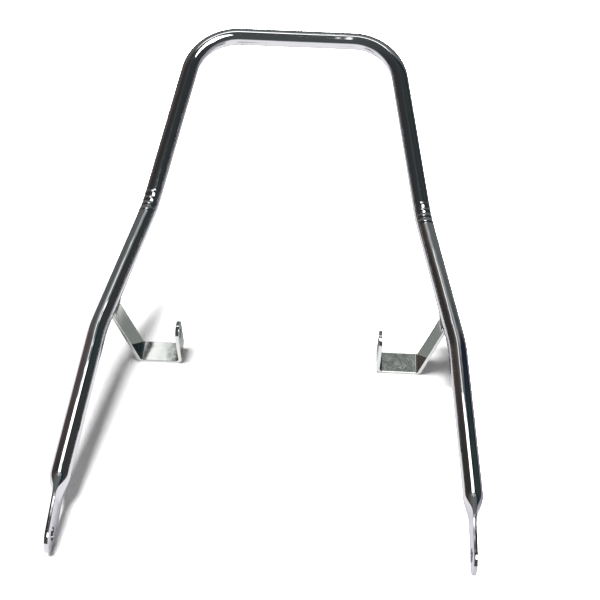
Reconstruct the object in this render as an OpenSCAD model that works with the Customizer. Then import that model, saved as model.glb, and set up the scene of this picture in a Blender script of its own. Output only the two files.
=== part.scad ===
// Moped grab bar: one bent steel tube with flattened, drilled feet and two folded strap brackets.
// X runs across, Y to the rear and Z up, as the bar stands on a floor on its feet and brackets.
// The origin is the middle of the line through the two foot holes.

/* [Tube] */
// Outside diameter of the bent tube
tube_d = 16; // [12:0.5:20]
// Wall thickness of the tube
tube_wall = 1.5; // [1:0.1:2]

/* [Outline of the bent tube] */
// Distance between the lines of the two legs at the foot holes
foot_span = 321; // [296:1:344]
// Distance between the tube centres at the slight lower bend
lower_bend_span = 299.5; // [280:0.5:316]
// Distance from the foot holes to the slight lower bend
lower_bend_y = 183; // [160:1:195]
// Distance between the tube centres at the wrinkled bend
kink_span = 246; // [220:1:270]
// Distance from the foot holes to the wrinkled bend
kink_y = 317; // [300:1:340]
// Distance between the crossing points of the top corners
corner_span = 186; // [150:1:220]
// Distance from the foot holes to the top bar
corner_y = 491.5; // [460:0.5:530]
// How far the top bar rises out of the plane of the lower legs
corner_rise = 46.5; // [25:0.5:70]

/* [Bends] */
// Centre line radius of the slight lower bend
lower_bend_r = 120; // [80:1:160]
// Centre line radius of the wrinkled bend
kink_r = 45; // [40:1:60]
// Centre line radius of the top corners
corner_r = 46; // [36:1:56]

/* [Wrinkles] */
// Number of wrinkles pressed up inside the wrinkled bend
wrinkle_count = 4; // [1:1:4]
// Spacing of the wrinkles along the tube
wrinkle_pitch = 6.2; // [5:0.1:6.5]
// Height of a wrinkle above the tube
wrinkle_h = 0.8; // [0.5:0.1:1.2]

/* [Feet] */
// Width of the flattened end
foot_w = 24; // [21:0.5:26]
// Length of the flattened end
foot_len = 38; // [32:1:46]
// Length over which the round tube becomes flat
taper_len = 24; // [18:1:30]
// How far the flattened end sits inside the line of the leg
foot_inset = 4; // [1:0.5:5]
// Diameter of the hole in the flattened end
foot_hole_d = 10.5; // [8:0.5:12]
// Distance from the very end to the middle of the hole
foot_hole_back = 14.5; // [13:0.5:16]

/* [Brackets] */
// Width of the steel strap
strap_w = 20; // [16:1:24]
// Thickness of the steel strap
strap_t = 3; // [2:0.5:4]
// Distance from the foot holes to the middle of the strap
strap_y = 208; // [196:1:225]
// Depth of the shelf's upper face below the plane of the tube
shelf_drop = 73; // [60:1:80]
// Distance from the middle of the bar to the near face of the tab
tab_x = 87; // [80:1:96]
// Distance from the middle of the bar to the middle of the outer fold
fold_x = 125; // [115:1:130]
// Height of the tab over the shelf's underside
tab_h = 46; // [40:1:52]
// Diameter of the hole in the tab
tab_hole_d = 8.5; // [6:0.5:10]
// Distance from the top of the tab to the middle of its hole
tab_hole_down = 12; // [9:0.5:15]
// Inside radius of the fold under the tab
tab_fold_r = 3; // [2:0.5:6]
// Inside radius of the outer fold
outer_fold_r = 2; // [1:0.5:3]

/* [Welds] */
// Radius of the weld bead around the top of each strap
bead_r = 2; // [1.5:0.1:2.5]

/* [Hidden] */
$fn = 96;

tube_r = tube_d / 2;
bore_d = tube_d - 2 * tube_wall;
foot_t = 2 * tube_wall;
foot_back = foot_len - foot_hole_back;
foot_round_y = foot_w / 2 - foot_hole_back;
taper_end_y = foot_back + taper_len;
slit_h = foot_w - 2 * foot_t;
slit_t = 0.3;
plate_x = foot_span / 2 - foot_inset;

// Half way down, the taper is narrower than the flat end and about half as thick as the tube.
taper_mid_at = 0.45;
taper_mid_less = 2.5;
taper_mid_flat = 0.52;
hollow_stop = 1;

// Pieces of tube and strap run into each other by joint_lap, and bends are joint_step wider, so
// that no two surfaces only graze each other.
joint_lap = 0.3;
joint_step = 0.1;
slice = 0.5;

// Corner points of the right half of the centre line, in the plane of the lower legs.
foot_point = [foot_span / 2, 0, 0];
lower_point = [lower_bend_span / 2, lower_bend_y, 0];
kink_point = [kink_span / 2, kink_y, 0];
corner_point = [corner_span / 2, corner_y, corner_rise];

function unit(v) = v / norm(v);
function swung(v, axis, a) = v * cos(a) + cross(axis, v) * sin(a) + axis * (axis * v) * (1 - cos(a));
// A frame is [x, y, z], with z along the tube.
function turn_angle(f, next) = acos(f[2] * next);
function turn_roll(f, next) = atan2(next * f[1], next * f[0]);
function turned(f, next) =
  let (axis = unit(cross(f[2], next)), a = turn_angle(f, next))
  [swung(f[0], axis, a), swung(f[1], axis, a), next];

hoop_dir = unit(kink_point - corner_point);
leg_dir = unit(lower_point - kink_point);
shin_dir = unit(foot_point - lower_point);
start_frame = [[0, 0, -1], [0, 1, 0], [1, 0, 0]];
hoop_frame = turned(start_frame, hoop_dir);
leg_frame = turned(hoop_frame, leg_dir);

corner_turn = turn_angle(start_frame, hoop_dir);
corner_roll = turn_roll(start_frame, hoop_dir);
kink_turn = turn_angle(hoop_frame, leg_dir);
kink_roll = turn_roll(hoop_frame, leg_dir);
lower_turn = turn_angle(leg_frame, shin_dir);
lower_roll = turn_roll(leg_frame, shin_dir);

corner_cut = corner_r * tan(corner_turn / 2);
kink_cut = kink_r * tan(kink_turn / 2);
lower_cut = lower_bend_r * tan(lower_turn / 2);
hoop_len = norm(kink_point - corner_point) - corner_cut - kink_cut;
leg_len = norm(lower_point - kink_point) - kink_cut - lower_cut;
shin_len = norm(foot_point - lower_point) * (1 - taper_end_y / lower_bend_y) - lower_cut;
top_len = corner_span - 2 * corner_cut;

// The bar leans until its feet and the front edges of both shelves stand on one floor.
shelf_low = shelf_drop + strap_t;
strap_front = strap_y - strap_w / 2;
reach = strap_front - foot_round_y;
lean = atan2(shelf_low, reach) - asin(foot_w / 2 / norm([reach, shelf_low]));

// Where the strap's middle line meets the tube's centre line, seen from above.
leg_slope = (kink_point[0] - lower_point[0]) / (kink_point[1] - lower_point[1]);
function leg_x(y) = lower_point[0] + leg_slope * (y - lower_point[1]);
strap_aim = 3;
strap_top_x = leg_x(strap_y) - strap_aim;
shelf_mid_z = -shelf_drop - strap_t / 2;
strap_lean = atan2(strap_top_x - fold_x, -shelf_mid_z);
outer_fold_turn = 90 - strap_lean;
outer_mid_r = outer_fold_r + strap_t / 2;
outer_cut = outer_mid_r * tan(outer_fold_turn / 2);
tab_mid_r = tab_fold_r + strap_t / 2;
shelf_len = fold_x - outer_cut - tab_x - strap_t / 2 - tab_mid_r;
strap_len = norm([strap_top_x - fold_x, shelf_mid_z]) - outer_cut;
tab_flat = tab_h - strap_t / 2 - tab_mid_r - strap_w / 2;

// The two beads stand this far off the strap's faces, so that they stay clear of each other.
bead_off = bead_r - strap_t / 2 + 0.2;

// Height of the tube's lower surface over a point of the plan.
function under_z(x, y) =
  let (off = (x - leg_x(y)) * cos(atan(leg_slope)))
  -sqrt(max(tube_r * tube_r - off * off, 1));
function strap_x(side, z) =
  strap_top_x + side * strap_t / 2 / cos(strap_lean) + z * tan(strap_lean);
function bead_point(side, y) =
  let (x = strap_x(side, -tube_r + 0.5))
  [x + side * bead_off, y, under_z(x, y) - 0.2];

module both_sides() {
  children();
  mirror([1, 0, 0]) children();
}

module stand() {
  rotate([lean, 0, 0]) children();
}

// One straight length of tube, then whatever comes after it.
module run(len, d) {
  translate([0, 0, -joint_lap]) cylinder(d = d, h = len + 2 * joint_lap);
  translate([0, 0, len]) children();
}

module after_bend(a, r, roll) {
  rotate([0, 0, roll]) translate([r, 0, 0]) rotate([0, a, 0]) translate([-r, 0, 0]) rotate([0, 0, -roll]) children();
}

// One bend of the tube, then whatever comes after it.
module bend(a, r, roll, d) {
  extra = joint_lap * 180 / PI / r;
  rotate([0, 0, roll])
    translate([r, 0, 0])
      rotate([90, 0, 180])
        rotate([0, 0, -extra])
          rotate_extrude(angle = a + 2 * extra)
            translate([r, 0, 0])
              circle(d = d + joint_step);
  after_bend(a, r, roll) children();
}

// Half the tube from the middle of the top bar to the start of the taper.
module half_path(d) {
  translate([0, corner_y, corner_rise])
    rotate([0, 90, 0]) {
      translate([0, 0, -joint_lap]) cylinder(d = d, h = top_len / 2 + 2 * joint_lap);
      translate([0, 0, top_len / 2])
        bend(corner_turn, corner_r, corner_roll, d)
          run(hoop_len, d)
            bend(kink_turn, kink_r, kink_roll, d)
              run(leg_len, d)
                bend(lower_turn, lower_bend_r, lower_roll, d)
                  run(shin_len, d);
    }
}

// Wrinkles stand out on the inside of the bend and sink into the tube on the outside.
module wrinkles() {
  ring_r = 2;
  ring_off = 1;
  ring_major = tube_r + wrinkle_h - ring_r - ring_off;
  translate([0, corner_y, corner_rise])
    rotate([0, 90, 0])
      translate([0, 0, top_len / 2])
        after_bend(corner_turn, corner_r, corner_roll)
          translate([0, 0, hoop_len])
            rotate([0, 0, kink_roll])
              translate([kink_r, 0, 0])
                for (i = [0 : wrinkle_count - 1])
                  rotate([0, kink_turn / 2 + (i - (wrinkle_count - 1) / 2) * wrinkle_pitch * 180 / PI / kink_r, 0])
                    translate([ring_off - kink_r, 0, 0])
                      rotate_extrude()
                        translate([ring_major, 0, 0])
                          circle(r = ring_r);
}

// A thin cross section of the right foot, w high and t thick, at distance y from the hole.
module foot_slice(x, y, w, t) {
  for (s = [-1, 1])
    translate([x, y, s * (w - t) / 2])
      rotate([-90, 0, 0])
        cylinder(d = t, h = slice, $fn = 32);
}

module foot_taper() {
  mid_y = foot_back + taper_len * taper_mid_at;
  top_x = foot_point[0] + (lower_point[0] - foot_point[0]) * taper_end_y / lower_bend_y;
  mid_x = (plate_x + top_x) / 2;
  mid_w = foot_w - taper_mid_less;
  hull() {
    foot_slice(top_x, taper_end_y, tube_d - 0.1, tube_d - 0.1);
    foot_slice(mid_x, mid_y, mid_w, tube_d * taper_mid_flat);
  }
  hull() {
    foot_slice(mid_x, mid_y, mid_w, tube_d * taper_mid_flat);
    foot_slice(plate_x, foot_back, foot_w, foot_t);
  }
}

module foot_hollow() {
  top_x = foot_point[0] + (lower_point[0] - foot_point[0]) * taper_end_y / lower_bend_y;
  hull() {
    foot_slice(top_x, taper_end_y + joint_lap, bore_d - 0.1, bore_d - 0.1);
    foot_slice(plate_x, foot_back + hollow_stop, slit_h, slit_t);
  }
}

module foot_plate() {
  translate([plate_x - foot_t / 2, foot_round_y, -foot_w / 2])
    cube([foot_t, foot_back - foot_round_y + slice, foot_w]);
  translate([plate_x - foot_t / 2, foot_round_y, 0])
    rotate([0, 90, 0])
      cylinder(d = foot_w, h = foot_t);
}

module bar_tube() {
  color("silver")
    stand()
      difference() {
        union() {
          both_sides() {
            half_path(tube_d);
            wrinkles();
            foot_taper();
            foot_plate();
          }
        }
        both_sides() {
          half_path(bore_d);
          foot_hollow();
        }
        translate([-foot_span, 0, 0])
          rotate([0, 90, 0])
            cylinder(d = foot_hole_d, h = 2 * foot_span);
      }
}

// The straight length of tube that a bracket is welded to.
module leg_rod() {
  translate(lower_point)
    rotate([-90, 0, -atan(leg_slope)])
      cylinder(d = tube_d, h = norm(kink_point - lower_point));
}

module strap_bend(r_in, a) {
  extra = joint_lap * 180 / PI / (r_in + strap_t / 2);
  rotate([0, 0, -extra])
    rotate_extrude(angle = a + 2 * extra)
      translate([r_in - joint_step / 2, -(strap_w + joint_step) / 2])
        square([strap_t + joint_step, strap_w + joint_step]);
}

// The sloping part of the strap, from the outer fold up into the tube.
module strap_arm() {
  translate([fold_x - outer_cut, shelf_mid_z + outer_mid_r, 0])
    rotate([0, 0, outer_fold_turn])
      translate([0, -outer_mid_r - strap_t / 2, -strap_w / 2])
        cube([strap_len, strap_t, strap_w]);
}

// The strap folded up in one plane: x across, y up, and the strap's width along z.
module folded_strap() {
  translate([tab_x, shelf_mid_z + tab_mid_r, -strap_w / 2])
    cube([strap_t, tab_flat, strap_w]);
  translate([tab_x, shelf_mid_z + tab_mid_r + tab_flat, 0])
    rotate([0, 90, 0])
      cylinder(d = strap_w, h = strap_t);
  translate([tab_x + strap_t / 2 + tab_mid_r, shelf_mid_z + tab_mid_r, 0])
    rotate([0, 0, 180])
      strap_bend(tab_fold_r, 90);
  translate([tab_x + strap_t / 2 + tab_mid_r, shelf_mid_z - strap_t / 2, -strap_w / 2])
    cube([shelf_len, strap_t, strap_w]);
  translate([fold_x - outer_cut, shelf_mid_z + outer_mid_r, 0])
    rotate([0, 0, -90])
      strap_bend(outer_fold_r, outer_fold_turn);
  strap_arm();
}

module strap_in_place() {
  translate([0, strap_y, 0])
    rotate([90, 0, 0])
      children();
}

module right_bracket_shape() {
  difference() {
    strap_in_place() folded_strap();
    leg_rod();
    translate([tab_x - strap_w, strap_y, shelf_mid_z - strap_t / 2 + tab_h - tab_hole_down])
      rotate([0, 90, 0])
        cylinder(d = tab_hole_d, h = strap_w + 2 * strap_t);
  }
}

module right_bracket() {
  color("silver")
    stand()
      right_bracket_shape();
}

module left_bracket() {
  color("silver")
    stand()
      mirror([1, 0, 0])
        right_bracket_shape();
}

module right_weld_shape() {
  front = strap_y - strap_w / 2;
  back = strap_y + strap_w / 2;
  ring = [bead_point(-1, front), bead_point(1, front), bead_point(1, back), bead_point(-1, back)];
  difference() {
    for (i = [1, 3])
      hull() {
        translate(ring[i]) sphere(r = bead_r, $fn = 28);
        translate(ring[(i + 1) % 4]) sphere(r = bead_r, $fn = 28);
      }
    leg_rod();
    strap_in_place() strap_arm();
  }
}

module right_weld() {
  color("gray")
    stand()
      right_weld_shape();
}

module left_weld() {
  color("gray")
    stand()
      mirror([1, 0, 0])
        right_weld_shape();
}

bar_tube();
left_bracket();
right_bracket();
left_weld();
right_weld();
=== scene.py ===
import math

import bmesh
import bpy
from mathutils import Matrix, Vector


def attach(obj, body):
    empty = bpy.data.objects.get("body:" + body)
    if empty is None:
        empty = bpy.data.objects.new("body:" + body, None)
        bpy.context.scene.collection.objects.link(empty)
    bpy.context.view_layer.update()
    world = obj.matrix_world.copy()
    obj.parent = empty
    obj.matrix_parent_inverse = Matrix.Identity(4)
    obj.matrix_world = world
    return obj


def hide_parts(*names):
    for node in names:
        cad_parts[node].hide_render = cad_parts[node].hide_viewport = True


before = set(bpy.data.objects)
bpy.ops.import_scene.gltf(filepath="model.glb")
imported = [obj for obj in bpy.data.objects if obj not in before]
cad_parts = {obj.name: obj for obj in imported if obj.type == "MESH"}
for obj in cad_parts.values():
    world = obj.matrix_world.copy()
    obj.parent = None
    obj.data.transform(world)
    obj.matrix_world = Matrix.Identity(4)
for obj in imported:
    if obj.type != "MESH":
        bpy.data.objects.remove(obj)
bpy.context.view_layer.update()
print("frame loaded")

mm = 0.001

# The pieces are drawn with the lower legs lying flat, then everything leans by this angle.
lean = math.radians(17.5535)
leanTurn = Matrix.Rotation(lean, 4, "X")


def filletedPath(corners, radii, step):
    # Points along straight lines joined by arcs of the given radii.
    points = [Vector(corners[0])]
    for index, radius in enumerate(radii):
        before, here, after = (Vector(corners[index + k]) for k in range(3))
        come, go = (before - here).normalized(), (after - here).normalized()
        turn = math.pi - come.angle(go)
        cut = radius * math.tan(turn / 2)
        centre = here + (come + go).normalized() * radius / math.cos(turn / 2)
        start, end = here + come * cut, here + go * cut
        count = max(3, round(radius * turn / step))
        for k in range(count + 1):
            share = k / count
            a, b = start - centre, end - centre
            blend = (a * math.sin((1 - share) * turn) + b * math.sin(share * turn)) / math.sin(turn)
            points.append(centre + blend)
    points.append(Vector(corners[-1]))
    return points


class Field:
    # A number that runs through a node tree, so that a rule reads like a formula.
    def __init__(self, tree, socket):
        self.tree, self.socket = tree, socket

    def math(self, operation, *others):
        node = self.tree.nodes.new("ShaderNodeMath")
        node.operation = operation
        self.tree.links.new(self.socket, node.inputs[0])
        for index, other in enumerate(others, 1):
            if isinstance(other, Field):
                self.tree.links.new(other.socket, node.inputs[index])
            else:
                node.inputs[index].default_value = other
        return Field(self.tree, node.outputs[0])

    def __add__(self, other):
        return self.math("ADD", other)

    def __sub__(self, other):
        return self.math("SUBTRACT", other)

    def __mul__(self, other):
        return self.math("MULTIPLY", other)

    def __truediv__(self, other):
        return self.math("DIVIDE", other)

    def eased(self, low, high, atLow=0.0, atHigh=1.0):
        node = self.tree.nodes.new("ShaderNodeMapRange")
        node.interpolation_type = "SMOOTHSTEP"
        for name, value in (("Value", self), ("From Min", low), ("From Max", high),
                            ("To Min", atLow), ("To Max", atHigh)):
            if isinstance(value, Field):
                self.tree.links.new(value.socket, node.inputs[name])
            else:
                node.inputs[name].default_value = value
        return Field(self.tree, node.outputs["Result"])


def addNode(tree, kind, inputs=None, **settings):
    node = tree.nodes.new(kind)
    for key, value in settings.items():
        setattr(node, key, value)
    for key, value in (inputs or {}).items():
        if isinstance(value, Field):
            tree.links.new(value.socket, node.inputs[key])
        elif isinstance(value, bpy.types.NodeSocket):
            tree.links.new(value, node.inputs[key])
        else:
            node.inputs[key].default_value = value
    return node


def mixed(tree, factor, low, high):
    # Goes from the low colour to the high one with the factor.
    node = addNode(tree, "ShaderNodeMix", {"Factor": factor, "A": low, "B": high}, data_type="RGBA")
    return node.outputs["Result"]


def splitVector(tree, socket):
    node = addNode(tree, "ShaderNodeSeparateXYZ", {0: socket})
    return [Field(tree, output) for output in node.outputs]


def startTree(name, sizes):
    # A tree with one geometry in and out, and one named input for each size.
    tree = bpy.data.node_groups.new(name, "GeometryNodeTree")
    tree.interface.new_socket("Geometry", in_out="INPUT", socket_type="NodeSocketGeometry")
    for label in sizes:
        tree.interface.new_socket(label, in_out="INPUT", socket_type="NodeSocketFloat")
    tree.interface.new_socket("Geometry", in_out="OUTPUT", socket_type="NodeSocketGeometry")
    start = tree.nodes.new("NodeGroupInput")
    fields = {label: Field(tree, start.outputs[label]) for label in sizes}
    return tree, start, fields


def finishTree(tree, geometry, material):
    real = addNode(tree, "GeometryNodeRealizeInstances", {0: geometry})
    dressed = addNode(tree, "GeometryNodeSetMaterial", {"Geometry": real.outputs[0]})
    dressed.inputs["Material"].default_value = material
    end = tree.nodes.new("NodeGroupOutput")
    tree.links.new(dressed.outputs[0], end.inputs[0])


def placed(data, name):
    # An object for a mesh or a curve, at the origin.
    data.name = name
    piece = bpy.data.objects.new(name, data)
    bpy.context.scene.collection.objects.link(piece)
    return piece


def applied(host, name):
    # Puts a plain mesh of what the host's modifiers make in the host's place.
    bpy.context.view_layer.update()
    graph = bpy.context.evaluated_depsgraph_get()
    mesh = bpy.data.meshes.new_from_object(host.evaluated_get(graph), depsgraph=graph)
    host.modifiers.clear()
    bpy.data.objects.remove(host)
    return placed(mesh, name)


def meshFrom(host, tree, sizes, name):
    modifier = host.modifiers.new(name, "NODES")
    modifier.node_group = tree
    for item in tree.interface.items_tree:
        if item.item_type == "SOCKET" and item.in_out == "INPUT" and item.name in sizes:
            modifier[item.identifier] = sizes[item.name]
    return applied(host, name)


def smoothPiece(piece, degrees):
    for face in piece.data.polygons:
        face.use_smooth = True
    piece.data.set_sharp_from_angle(angle=math.radians(degrees))


# Materials


def newMaterial(name, slotColour):
    material = bpy.data.materials.new(name)
    material.use_nodes = True
    shader = material.node_tree.nodes["Principled BSDF"]
    shader.inputs["Base Color"].default_value = (*slotColour, 1)
    shader.inputs["Metallic"].default_value = 1.0
    return material, shader


def addWaves(material, shader, waveScale, waveStrength, smudgeScale, roughness):
    # Plating is never quite flat: a faint waviness bends reflections, and smudges dull them.
    tree = material.node_tree
    place = tree.nodes.new("ShaderNodeTexCoord").outputs["Object"]
    waves = addNode(tree, "ShaderNodeTexNoise", {"Vector": place, "Scale": waveScale, "Detail": 1.0})
    bump = addNode(tree, "ShaderNodeBump",
                   {"Height": waves.outputs[0], "Strength": waveStrength, "Distance": 1.0 * mm})
    tree.links.new(bump.outputs[0], shader.inputs["Normal"])
    smudge = addNode(tree, "ShaderNodeTexNoise",
                     {"Vector": place, "Scale": smudgeScale, "Detail": 6.0, "Roughness": 0.6})
    spread = addNode(tree, "ShaderNodeMapRange",
                     {"Value": smudge.outputs[0], "From Min": 0.35, "From Max": 0.7,
                      "To Min": roughness[0], "To Max": roughness[1]})
    tree.links.new(spread.outputs[0], shader.inputs["Roughness"])


def chromeMaterial():
    material, shader = newMaterial("polishedChrome", (0.60, 0.595, 0.62))
    shader.inputs["Specular Tint"].default_value = (0.8, 0.8, 0.83, 1)
    addWaves(material, shader, waveScale=45, waveStrength=0.26, smudgeScale=260, roughness=(0.03, 0.07))
    return material


def strapMaterial():
    material, shader = newMaterial("strapChrome", (0.62, 0.63, 0.61))
    addWaves(material, shader, waveScale=90, waveStrength=0.07, smudgeScale=180, roughness=(0.06, 0.12))
    return material


def weldMaterial():
    material, shader = newMaterial("platedWeld", (0.6, 0.6, 0.58))
    addWaves(material, shader, waveScale=400, waveStrength=0.25, smudgeScale=300, roughness=(0.16, 0.32))
    return material


polishedChrome = chromeMaterial()
strapChrome = strapMaterial()
platedWeld = weldMaterial()
print("materials made")


# The bent tube: a circle swept along its centre line, flattened at the feet and wrinkled at the kinks

tube = {
    "radius": 8.0 * mm,
    "footHalf": 156.5 * mm,
    "footEnd": -14.4 * mm,
    "footBack": 23.5 * mm,
    "taperEnd": 47.5 * mm,
    "taperHalf": 157.71 * mm,
    "lowerBend": (149.75 * mm, 183.0 * mm, 0.0),
    "kink": (123.0 * mm, 317.0 * mm, 0.0),
    "corner": (93.0 * mm, 491.5 * mm, 46.5 * mm),
    "footRadius": 120.0 * mm,
    "lowerRadius": 120.0 * mm,
    "kinkRadius": 45.0 * mm,
    "cornerRadius": 46.0 * mm,
    "footHalfWidth": 12.0 * mm,
    "footHalfThick": 1.5 * mm,
    "pressBlend": 0.6 * mm,
    "tipLeast": 0.06,  # share of the foot's width left at its very tip
    "holeRadius": 5.25 * mm,
    "wrinklePitch": 6.2 * mm,
    "wrinkleHeight": 0.45 * mm,
    "wrinkleSink": 0.25,  # share of the height that lies below the plain tube
    "wrinkleFade": (1.8, 2.1),  # pitches from the kink's middle
    "wrinkleSides": (0.05, 0.95),  # from the tube's side to the inside of the bend
    "around": 64,
    "arcStep": 1.5 * mm,
    "tipReach": 13.0 * mm,
    "tipStep": 0.5 * mm,
    "footReach": 80.0 * mm,
    "footStep": 1.5 * mm,
    "kinkReach": 16.0 * mm,
    "kinkStep": 0.45 * mm,
    "plainStep": 2.5 * mm,
    "sharpAngle": 32,
}


def rightCorners():
    # The corners of the right half's centre line, from the foot's end to the top bar.
    return [
        (tube["footHalf"], tube["footEnd"], 0),
        (tube["footHalf"], tube["footBack"], 0),
        (tube["taperHalf"], tube["taperEnd"], 0),
        tube["lowerBend"],
        tube["kink"],
        tube["corner"],
    ]


def tubePath():
    right = rightCorners()
    left = [(-x, y, z) for x, y, z in right]
    radii = [tube["footRadius"], tube["footRadius"], tube["lowerRadius"],
             tube["kinkRadius"], tube["cornerRadius"]]
    return filletedPath(left + right[::-1], radii + radii[::-1], tube["arcStep"])


def tubeStep(fromTip, kinkAt):
    # Short steps where the tube changes its shape.
    if fromTip < tube["tipReach"]:
        return tube["tipStep"]
    if fromTip < tube["footReach"]:
        return tube["footStep"]
    return tube["kinkStep"] if abs(fromTip - kinkAt) < tube["kinkReach"] else tube["plainStep"]


def spacedPoints(points, kinkAt):
    # The same line, with its points closer together near the feet and the kinks.
    lengths = [0.0]
    for a, b in zip(points, points[1:]):
        lengths.append(lengths[-1] + (b - a).length)
    total, at, index, out = lengths[-1], 0.0, 0, []
    while at < total:
        while lengths[index + 1] < at:
            index += 1
        share = (at - lengths[index]) / (lengths[index + 1] - lengths[index])
        out.append(points[index].lerp(points[index + 1], share))
        at += tubeStep(min(at, total - at), kinkAt)
    return out + [points[-1]], total


def kinkPlace():
    # Length along the tube from a tip to the middle of its wrinkled bend, and the way the bend faces.
    corners = [Vector(corner) for corner in rightCorners()]
    straight = sum((b - a).length for a, b in zip(corners, corners[1:-1]))
    lower, kink, upper = corners[-3:]
    come, go = (lower - kink).normalized(), (upper - kink).normalized()
    turn = math.pi - come.angle(go)
    short = tube["kinkRadius"] * (math.tan(turn / 2) - turn / 2)
    return straight - short, (come + go).normalized()


def lineThrough(points, name):
    curve = bpy.data.curves.new(name, "CURVE")
    curve.dimensions = "3D"
    spline = curve.splines.new("POLY")
    spline.points.add(len(points) - 1)
    for target, point in zip(spline.points, points):
        target.co = (*point, 1)
    return placed(curve, name)


def sweptTube(sizes, hollowSide):
    tree, start, size = startTree("sweptTube", sizes)
    position = tree.nodes.new("GeometryNodeInputPosition").outputs[0]
    along = tree.nodes.new("GeometryNodeSplineParameter").outputs["Length"]
    kept = addNode(tree, "GeometryNodeCaptureAttribute", {"Geometry": start.outputs["Geometry"]},
                   domain="POINT")
    kept.capture_items.new("VECTOR", "Centre")
    kept.capture_items.new("FLOAT", "Length")
    tree.links.new(position, kept.inputs["Centre"])
    tree.links.new(along, kept.inputs["Length"])
    ring = addNode(tree, "GeometryNodeCurvePrimitiveCircle",
                   {"Resolution": tube["around"], "Radius": size["Radius"]})
    swept = addNode(tree, "GeometryNodeCurveToMesh",
                    {"Curve": kept.outputs["Geometry"], "Profile Curve": ring.outputs[0], "Fill Caps": True})

    centre = kept.outputs["Centre"]
    offset = addNode(tree, "ShaderNodeVectorMath", {0: position, 1: centre}, operation="SUBTRACT")
    across, forward, upward = splitVector(tree, offset.outputs[0])
    centreX = splitVector(tree, centre)[0]
    length = Field(tree, kept.outputs["Length"])
    fromTip = length.math("MINIMUM", (length * -1) + size["Total Length"])

    # Flattening: the thickness falls to the two walls together and the width grows.
    flat = fromTip.eased(size["Flat End"], size["Taper End"], 1.0, 0.0)
    pressed = across.math("ABSOLUTE").math("SMOOTH_MIN", size["Foot Half Thickness"], tube["pressBlend"])
    pressed = pressed * across.math("SIGN")
    thin = across + (pressed - across) * flat
    widen = (size["Foot Half Width"] / size["Radius"] - 1.0) * flat + 1.0
    tipShare = (fromTip / size["Foot Half Width"]).math("MINIMUM", 1.0)
    tipRound = ((tipShare * -1 + 1.0).math("POWER", 2.0) * -1 + 1.0).math("SQRT")
    wide = upward * widen * tipRound.math("MAXIMUM", tube["tipLeast"])

    # Wrinkles: round ridges with sharp valleys on the inside of the kink, fading round its sides.
    right = centreX.math("SIGN")
    towards = across * right * hollowSide.x + forward * hollowSide.y + upward * hollowSide.z
    inside = (towards / size["Radius"]).eased(*tube["wrinkleSides"])
    away = fromTip - size["Kink At"]
    fadeStart, fadeEnd = (size["Wrinkle Pitch"] * pitches for pitches in tube["wrinkleFade"])
    window = away.math("ABSOLUTE").eased(fadeStart, fadeEnd, 1.0, 0.0)
    wave = (away / size["Wrinkle Pitch"] * math.pi).math("SINE").math("ABSOLUTE") - tube["wrinkleSink"]
    swell = (wave * window * inside * size["Wrinkle Height"]) / size["Radius"] + 1.0

    shaped = addNode(tree, "ShaderNodeCombineXYZ", {0: thin * swell, 1: forward * swell, 2: wide * swell})
    newPlace = addNode(tree, "ShaderNodeVectorMath", {0: shaped.outputs[0], 1: centre}, operation="ADD")
    moved = addNode(tree, "GeometryNodeSetPosition",
                    {"Geometry": swept.outputs[0], "Position": newPlace.outputs[0]})

    # One rod cuts the holes of both feet.
    rod = addNode(tree, "GeometryNodeMeshCylinder",
                  {"Vertices": tube["around"], "Radius": size["Hole Radius"], "Depth": size["Rod Length"]})
    turned = addNode(tree, "GeometryNodeTransform",
                     {"Geometry": rod.outputs["Mesh"], "Rotation": (0, math.pi / 2, 0)})
    bored = addNode(tree, "GeometryNodeMeshBoolean",
                    {"Mesh 1": moved.outputs[0], "Mesh 2": turned.outputs[0]},
                    operation="DIFFERENCE", solver="EXACT")
    finishTree(tree, bored.outputs[0], polishedChrome)
    return tree


def makeTube():
    kinkAt, hollowSide = kinkPlace()
    points, total = spacedPoints(tubePath(), kinkAt)
    sizes = {
        "Radius": tube["radius"],
        "Total Length": total,
        "Foot Half Width": tube["footHalfWidth"],
        "Foot Half Thickness": tube["footHalfThick"],
        "Flat End": tube["footBack"] - tube["footEnd"],
        "Taper End": tube["taperEnd"] - tube["footEnd"],
        "Kink At": kinkAt,
        "Wrinkle Pitch": tube["wrinklePitch"],
        "Wrinkle Height": tube["wrinkleHeight"],
        "Hole Radius": tube["holeRadius"],
        "Rod Length": tube["footHalf"] * 2.5,
    }
    host = lineThrough(points, "tubeLine")
    piece = meshFrom(host, sweptTube(sizes, hollowSide), sizes, "bentTube")
    piece.data.transform(leanTurn)
    smoothPiece(piece, tube["sharpAngle"])
    return piece


bentTube = makeTube()
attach(bentTube, "root")
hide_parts("bar_tube")
print("tube made", len(bentTube.data.vertices))


# The brackets: flat strap folded in one plane, with a rounded tab, cut to sit on the tube

strap = {
    "width": 20.0 * mm,
    "thick": 3.0 * mm,
    "middleY": 208.0 * mm,
    "shelfTop": -73.0 * mm,
    "tabFace": 87.0 * mm,
    "foldX": 125.0 * mm,
    "tabHeight": 46.0 * mm,
    "tabFold": 3.0 * mm,
    "outerFold": 2.0 * mm,
    "aim": 3.0 * mm,  # how far inside the tube's middle the sloping part points
    "holeRadius": 4.25 * mm,
    "holeDown": 12.0 * mm,
    "holeReach": 10.0 * mm,
    "edge": 0.35 * mm,
    "step": 0.4 * mm,
    "tabLeast": 0.05,  # share of the width left at the tab's very top
    "sharpAngle": 12,
}

tabTop = strap["shelfTop"] - strap["thick"] + strap["tabHeight"]
tabRings = round(strap["width"] / 2 / strap["step"]) + 1


def legX(y):
    # Where the straight part of the leg, from its bend to its kink, runs at this distance back.
    (x0, y0, _), (x1, y1, _) = tube["lowerBend"], tube["kink"]
    return x0 + (x1 - x0) * (y - y0) / (y1 - y0)


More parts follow.
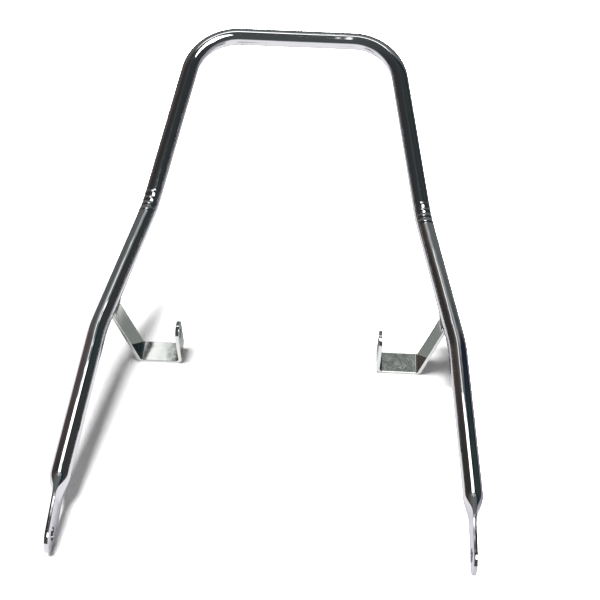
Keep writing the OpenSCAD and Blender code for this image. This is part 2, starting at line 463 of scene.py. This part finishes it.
def strapPath():
    # From the tab's top down, along the shelf and up to the tube, in the right bracket's plane.
    half = strap["thick"] / 2
    shelf = strap["shelfTop"] - half
    tabMiddle = strap["tabFace"] + half
    top = Vector((tabMiddle, 0, tabTop))
    foldIn = Vector((tabMiddle, 0, shelf))
    foldOut = Vector((strap["foldX"], 0, shelf))
    end = Vector((legX(strap["middleY"]) - strap["aim"], 0, 0))
    radii = [strap["tabFold"] + half, strap["outerFold"] + half]
    points = filletedPath([top, foldIn, foldOut, end], radii, strap["step"])
    rounded = [top - Vector((0, 0, k * strap["step"])) for k in range(tabRings)]
    return rounded + points[1:]


def strapSection():
    # A flat bar's cross section with its edges just broken: (across the width, through the thickness).
    w, t, r = strap["width"] / 2, strap["thick"] / 2, strap["edge"]
    section = []
    for cx, cy, start in ((w - r, t - r, 0), (r - w, t - r, 90), (r - w, r - t, 180), (w - r, r - t, 270)):
        for k in range(4):
            angle = math.radians(start + 30 * k)
            section.append((cx + r * math.cos(angle), cy + r * math.sin(angle)))
    return section


def fixNormals(mesh):
    work = bmesh.new()
    work.from_mesh(mesh)
    bmesh.ops.recalc_face_normals(work, faces=work.faces)
    work.to_mesh(mesh)
    work.free()


def strapMesh(side, name):
    # The section follows the path, and narrows to a half circle along the tab's top rings.
    points, section = strapPath(), strapSection()
    verts, faces = [], []
    radius = strap["width"] / 2
    for index, point in enumerate(points):
        before, after = points[max(index - 1, 0)], points[min(index + 1, len(points) - 1)]
        tangent = (after - before).normalized()
        normal = Vector((tangent.z, 0, -tangent.x))
        drop = points[0].z - point.z if index < tabRings else radius
        share = math.sqrt(max(0.0, 1 - (1 - min(drop / radius, 1)) ** 2))
        for across, through in section:
            sideways = across * max(strap["tabLeast"], share) + strap["middleY"]
            spot = point + normal * through + Vector((0, sideways, 0))
            verts.append((spot.x * side, spot.y, spot.z))
    count = len(section)
    for ring in range(len(points) - 1):
        for k in range(count):
            a, b = ring * count + k, ring * count + (k + 1) % count
            faces.append((a, b, b + count, a + count))
    faces.append(tuple(range(count))[::-1])
    faces.append(tuple(range((len(points) - 1) * count, len(points) * count)))
    mesh = bpy.data.meshes.new(name)
    mesh.from_pydata(verts, [], faces)
    fixNormals(mesh)
    return mesh


def cutter(start, end, radius, name):
    # A round cutting rod between two points.
    line = Vector(end) - Vector(start)
    bpy.ops.mesh.primitive_cylinder_add(vertices=96, radius=radius, depth=line.length)
    rod = bpy.context.object
    rod.name = name
    turn = line.to_track_quat("Z", "Y").to_matrix().to_4x4()
    rod.data.transform(Matrix.Translation((Vector(start) + Vector(end)) / 2) @ turn)
    return rod


def cutBy(piece, rods):
    for rod in rods:
        modifier = piece.modifiers.new(rod.name, "BOOLEAN")
        modifier.operation, modifier.solver, modifier.object = "DIFFERENCE", "EXACT", rod
    piece = applied(piece, piece.name)
    for rod in rods:
        bpy.data.objects.remove(rod)
    return piece


def makeStrap(side, name):
    piece = placed(strapMesh(side, name), name)
    low, high = Vector(tube["lowerBend"]), Vector(tube["kink"])
    low.x, high.x = low.x * side, high.x * side
    holeX, holeZ = strap["tabFace"] * side, tabTop - strap["holeDown"]
    holeStart = (holeX - strap["holeReach"], strap["middleY"], holeZ)
    holeEnd = (holeX + strap["holeReach"], strap["middleY"], holeZ)
    piece = cutBy(piece, [
        cutter(low, high, tube["radius"], "legCut"),
        cutter(holeStart, holeEnd, strap["holeRadius"], "holeCut"),
    ])
    piece.data.materials.clear()
    piece.data.materials.append(strapChrome)
    piece.data.transform(leanTurn)
    smoothPiece(piece, strap["sharpAngle"])
    return piece


for side, word in ((-1, "left"), (1, "right")):
    bracket = makeStrap(side, word + "Strap")
    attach(bracket, "root")
    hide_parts(word + "_bracket")
print("straps made")


# The welds: a row of overlapping drops along each face of the strap where it meets the tube

weld = {
    "drops": 15,
    "bead": 2.0 * mm,
    "dropSize": 0.9,  # share of the bead, with the ripple above and below it
    "ripple": 0.08,
    "rippleTurn": 2.3,
    "seamRise": 0.5 * mm,
    "standOff": 0.7 * mm,
    "sink": 0.2 * mm,
    "voxel": 0.3 * mm,
    "sharpAngle": 60,
}


def underZ(x, y):
    # The height of the leg's underside, measured from its centre line.
    (x0, y0, _), (x1, y1, _) = tube["lowerBend"], tube["kink"]
    slope = (x1 - x0) / (y1 - y0)
    off = (x - legX(y)) * math.cos(math.atan(slope))
    return -math.sqrt(max(tube["radius"] ** 2 - off ** 2, mm ** 2))


def beadPoint(face, y):
    # Where one face of the strap meets the underside of the tube.
    topX = legX(strap["middleY"]) - strap["aim"]
    leanOver = math.atan2(topX - strap["foldX"], -(strap["shelfTop"] - strap["thick"] / 2))
    seamZ = -tube["radius"] + weld["seamRise"]
    seamX = topX + face * strap["thick"] / 2 / math.cos(leanOver) + seamZ * math.tan(leanOver)
    return Vector((seamX + face * weld["standOff"], y, underZ(seamX, y) - weld["sink"]))


def makeWeld(side, name):
    drops = []
    for face in (-1, 1):
        for k in range(weld["drops"]):
            share = k / (weld["drops"] - 1)
            point = beadPoint(face, strap["middleY"] + (share - 0.5) * strap["width"])
            ripple = weld["ripple"] * math.sin(k * weld["rippleTurn"] + face)
            bpy.ops.mesh.primitive_ico_sphere_add(
                subdivisions=3, radius=weld["bead"] * (weld["dropSize"] + ripple))
            drop = bpy.context.object
            drop.data.transform(Matrix.Translation((point.x * side, point.y, point.z)))
            drops.append(drop)
    with bpy.context.temp_override(active_object=drops[0], selected_editable_objects=drops):
        bpy.ops.object.join()
    row = drops[0]
    melt = row.modifiers.new("melt", "REMESH")
    melt.mode, melt.voxel_size = "VOXEL", weld["voxel"]
    settle = row.modifiers.new("settle", "SMOOTH")
    settle.iterations = 2
    piece = applied(row, name)
    piece.data.materials.clear()
    piece.data.materials.append(platedWeld)
    piece.data.transform(leanTurn)
    smoothPiece(piece, weld["sharpAngle"])
    return piece


for side, word in ((-1, "left"), (1, "right")):
    beads = makeWeld(side, word + "WeldBeads")
    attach(beads, "root")
    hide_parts(word + "_weld")
print("welds made")


# The floor: white paper that answers each kind of ray as the photo's paper seems to

paper = {
    "size": 4.0,
    "middle": (0, 0.5, -12.75 * mm),
    "roughness": 0.9,
    "plain": (0.5, 0.5, 0.5, 1),
    "white": (1.25, 1.25, 1.25, 1),
    # Painted light: a camera-only paper colour that washes out shadows where it is mixed in.
    "burntOut": (9.0, 9.0, 9.0, 1),
    # Painted shade: the paper that reflections see to the right is darker.
    "shaded": (0.50, 0.48, 0.54, 1),
    "farOff": (0.42, 0.42, 0.44, 1),
    # Painted shadow: the dark spot beside each bracket, seen only in reflections.
    "shadowSpotShade": (0.28, 0.30, 0.29, 1),
    # Each pair is where one state of the paper ends and the next is reached.
    "shadedX": (0.10, 0.24),
    "farMiddleY": 0.2,
    "farReach": (0.45, 0.9),
    # Where the painted shadow spots sit, and how far they reach.
    "shadowSpotX": 0.11,
    "shadowSpotY": 0.275,
    "shadowSpotReach": (0.03, 0.08),
    "burntRearY": (0.23, 0.50),
    "burntOuterX": (0.155, 0.17),
    "burntUpperX": (0.06, 0.12),
    "burntUpperY": (0.245, 0.275),
    "burntLowerX": (0.08, 0.13),
    "burntLowerY": (0.18, 0.20),
}


def distance(x, y):
    return (x * x + y * y).math("SQRT")


def mirroredPaper(tree, x, y):
    # Reflections see bright paper on the left, painted shade on the paper to the right, darker paper far
    # off, and a painted shadow as a dark spot beside each bracket.
    # Painted shade: towards the right, reflections see darker paper.
    near = mixed(tree, x.eased(*paper["shadedX"]), paper["white"], paper["shaded"])
    far = distance(x, y - paper["farMiddleY"]).eased(*paper["farReach"])
    # Painted shadow: a dark spot beside each bracket, for reflections only.
    aside = x.math("ABSOLUTE") - paper["shadowSpotX"]
    spot = distance(aside, y - paper["shadowSpotY"]).eased(*paper["shadowSpotReach"], 1.0, 0.0)
    return mixed(tree, spot, mixed(tree, far, near, paper["farOff"]), paper["shadowSpotShade"])


def seenPaper(tree, x, y):
    # The camera sees overexposed paper, and painted light, a far brighter paper colour, washes out the
    # hoop's shadow and the right leg's shadow.
    rear = y.eased(*paper["burntRearY"])
    outer = x.eased(*paper["burntOuterX"])
    upper = x.eased(*paper["burntUpperX"]) * y.eased(*paper["burntUpperY"])
    lower = x.eased(*paper["burntLowerX"]) * y.eased(*paper["burntLowerY"], 1.0, 0.0)
    washed = rear.math("MAXIMUM", outer).math("MAXIMUM", upper).math("MAXIMUM", lower)
    return mixed(tree, washed, paper["white"], paper["burntOut"])


def makeFloor():
    bpy.ops.mesh.primitive_plane_add(size=paper["size"], location=(0, 0, 0))
    floor = bpy.context.object
    floor.name = "studioFloor"
    floor.data.transform(Matrix.Translation(paper["middle"]))
    material = bpy.data.materials.new("whiteFloor")
    material.use_nodes = True
    tree = material.node_tree
    shader = tree.nodes["Principled BSDF"]
    shader.inputs["Roughness"].default_value = paper["roughness"]
    shader.inputs["Specular IOR Level"].default_value = 0.0
    rays = tree.nodes.new("ShaderNodeLightPath")
    place = tree.nodes.new("ShaderNodeTexCoord")
    x, y, _ = splitVector(tree, place.outputs["Object"])
    unseen = mixed(tree, rays.outputs["Is Diffuse Ray"], mirroredPaper(tree, x, y), paper["plain"])
    colour = mixed(tree, rays.outputs["Is Camera Ray"], unseen, seenPaper(tree, x, y))
    tree.links.new(colour, shader.inputs["Base Color"])
    floor.data.materials.append(material)


makeFloor()


# The camera fitted to the photograph, given with the lower legs lying flat

photo = {
    "place": (39.1 * mm, -311.9 * mm, 769.8 * mm),
    "pitch": 55.3,
    "yaw": -2.34,
    "roll": -0.73,
    "focalPixels": 1100,
    "widthPixels": 600,
    "sensorWidth": 36.0,
    "clip": (0.01, 20),
}


def makeCamera():
    pitch, yaw, roll = (math.radians(photo[turn]) for turn in ("pitch", "yaw", "roll"))
    forward = Vector((math.sin(yaw) * math.cos(pitch), math.cos(yaw) * math.cos(pitch), -math.sin(pitch)))
    right = Vector((math.cos(yaw), -math.sin(yaw), 0))
    down = forward.cross(right)
    across = right * math.cos(roll) + down * math.sin(roll)
    below = down * math.cos(roll) - right * math.sin(roll)
    axes = Matrix((across, -below, -forward)).transposed().to_4x4()
    data = bpy.data.cameras.new("photoCamera")
    data.sensor_width = photo["sensorWidth"]
    data.lens = photo["focalPixels"] / photo["widthPixels"] * photo["sensorWidth"]
    data.clip_start, data.clip_end = photo["clip"]
    camera = placed(data, "photoCamera")
    camera.matrix_world = leanTurn @ Matrix.Translation(photo["place"]) @ axes
    bpy.context.scene.camera = camera


makeCamera()


# The sun: the shadow falls along its direction, and its softness comes from the lamp's angle

sun = {
    "direction": (0.15, 0.36, -1.0),
    "strength": 2.9,
    "angle": 15,
}


def makeSun():
    data = bpy.data.lights.new("keySun", "SUN")
    data.energy, data.angle = sun["strength"], math.radians(sun["angle"])
    lamp = placed(data, "keySun")
    lamp.visible_glossy = False
    lamp.rotation_euler = Vector(sun["direction"]).to_track_quat("-Z", "Y").to_euler()


makeSun()


# The room that the chrome mirrors: its walls by direction in degrees (0 is the rear, right is positive),
# and its ceiling lamps, each by left, right, near and far, the softness of its edge and its strength

room = {
    "walls": [
        (-180, (0.10, 0.115, 0.11)),
        (-115, (0.05, 0.056, 0.060)),
        (-92, (0.045, 0.050, 0.052)),
        (-82, (0.050, 0.048, 0.042)),
        (-71, (0.052, 0.050, 0.046)),
        (-65, (0.10, 0.078, 0.072)),
        (-59, (0.15, 0.118, 0.112)),
        (-53, (0.14, 0.155, 0.145)),
        (-45, (0.17, 0.185, 0.175)),
        (0, (0.20, 0.225, 0.215)),
        (46, (0.18, 0.195, 0.19)),
        (50, (0.12, 0.135, 0.13)),
        (54, (0.030, 0.034, 0.038)),
        (59, (0.018, 0.022, 0.046)),
        (65, (0.036, 0.064, 0.058)),
        (74, (0.060, 0.060, 0.056)),
        (84, (0.040, 0.050, 0.050)),
        (115, (0.05, 0.056, 0.060)),
        (180, (0.10, 0.115, 0.11)),
    ],
    "lamps": [
        (-0.25, 0.15, 0.10, 0.20, 0.012, 3.5),
        (0.02, 0.42, -0.66, -0.21, 0.015, 7.0),
        (-0.155, -0.03, 0.205, 0.30, 0.01, 1.3),
        (-0.02, 0.007, 0.36, 0.42, 0.005, 2.5),
        (-0.36, 0.36, 0.28, 0.36, 0.04, 0.40),
    ],
    "ceilingFrom": (0.0, 0.3),
    "fill": 0.15,
    "backdrop": 1.0,
}


def lampPatch(x, y, left, right, near, far, soft, strength):
    # A soft-edged rectangle of the ceiling, in the sideways and forward parts of a direction.
    wide = x.eased(left - soft, left + soft) * x.eased(right - soft, right + soft, 1.0, 0.0)
    deep = y.eased(near - soft, near + soft) * y.eased(far - soft, far + soft, 1.0, 0.0)
    return wide * deep * strength


def wallColours(tree, x, y):
    turn = x.math("ARCTAN2", y) / (2 * math.pi) + 0.5
    walls = addNode(tree, "ShaderNodeValToRGB", {0: turn})
    bands = walls.color_ramp.elements
    while len(bands) > 1:
        bands.remove(bands[-1])
    for index, (degrees, colour) in enumerate(room["walls"]):
        band = bands[0] if index == 0 else bands.new(1.0)
        band.position = degrees / 360 + 0.5
        band.color = (*colour, 1)
    return walls.outputs["Color"]


def glow(tree, colour, strength):
    return addNode(tree, "ShaderNodeBackground", {"Color": colour, "Strength": strength}).outputs[0]


def makeWorld():
    # The camera sees white, shiny surfaces see the room, and everything else gets a plain fill.
    world = bpy.data.worlds.new("studioRoom")
    bpy.context.scene.world = world
    world.use_nodes = True
    tree = world.node_tree
    tree.nodes.clear()
    place = tree.nodes.new("ShaderNodeTexCoord")
    x, y, z = splitVector(tree, place.outputs["Generated"])
    patches = [lampPatch(x, y, *lamp) for lamp in room["lamps"]]
    ceiling = patches[0]
    for patch in patches[1:]:
        ceiling = ceiling + patch
    white = (1, 1, 1, 1)
    walls = glow(tree, wallColours(tree, x, y), 1.0)
    lamps = glow(tree, white, ceiling * z.eased(*room["ceilingFrom"]))
    lit = addNode(tree, "ShaderNodeAddShader", {0: walls, 1: lamps}).outputs[0]
    rays = tree.nodes.new("ShaderNodeLightPath")
    unseen = addNode(tree, "ShaderNodeMixShader",
                     {0: rays.outputs["Is Glossy Ray"], 1: glow(tree, white, room["fill"]), 2: lit})
    seen = addNode(tree, "ShaderNodeMixShader",
                   {0: rays.outputs["Is Camera Ray"], 1: unseen.outputs[0],
                    2: glow(tree, white, room["backdrop"])})
    end = tree.nodes.new("ShaderNodeOutputWorld")
    tree.links.new(seen.outputs[0], end.inputs["Surface"])


makeWorld()

settings = bpy.context.scene.view_settings
settings.view_transform = "Standard"
print("stage made")
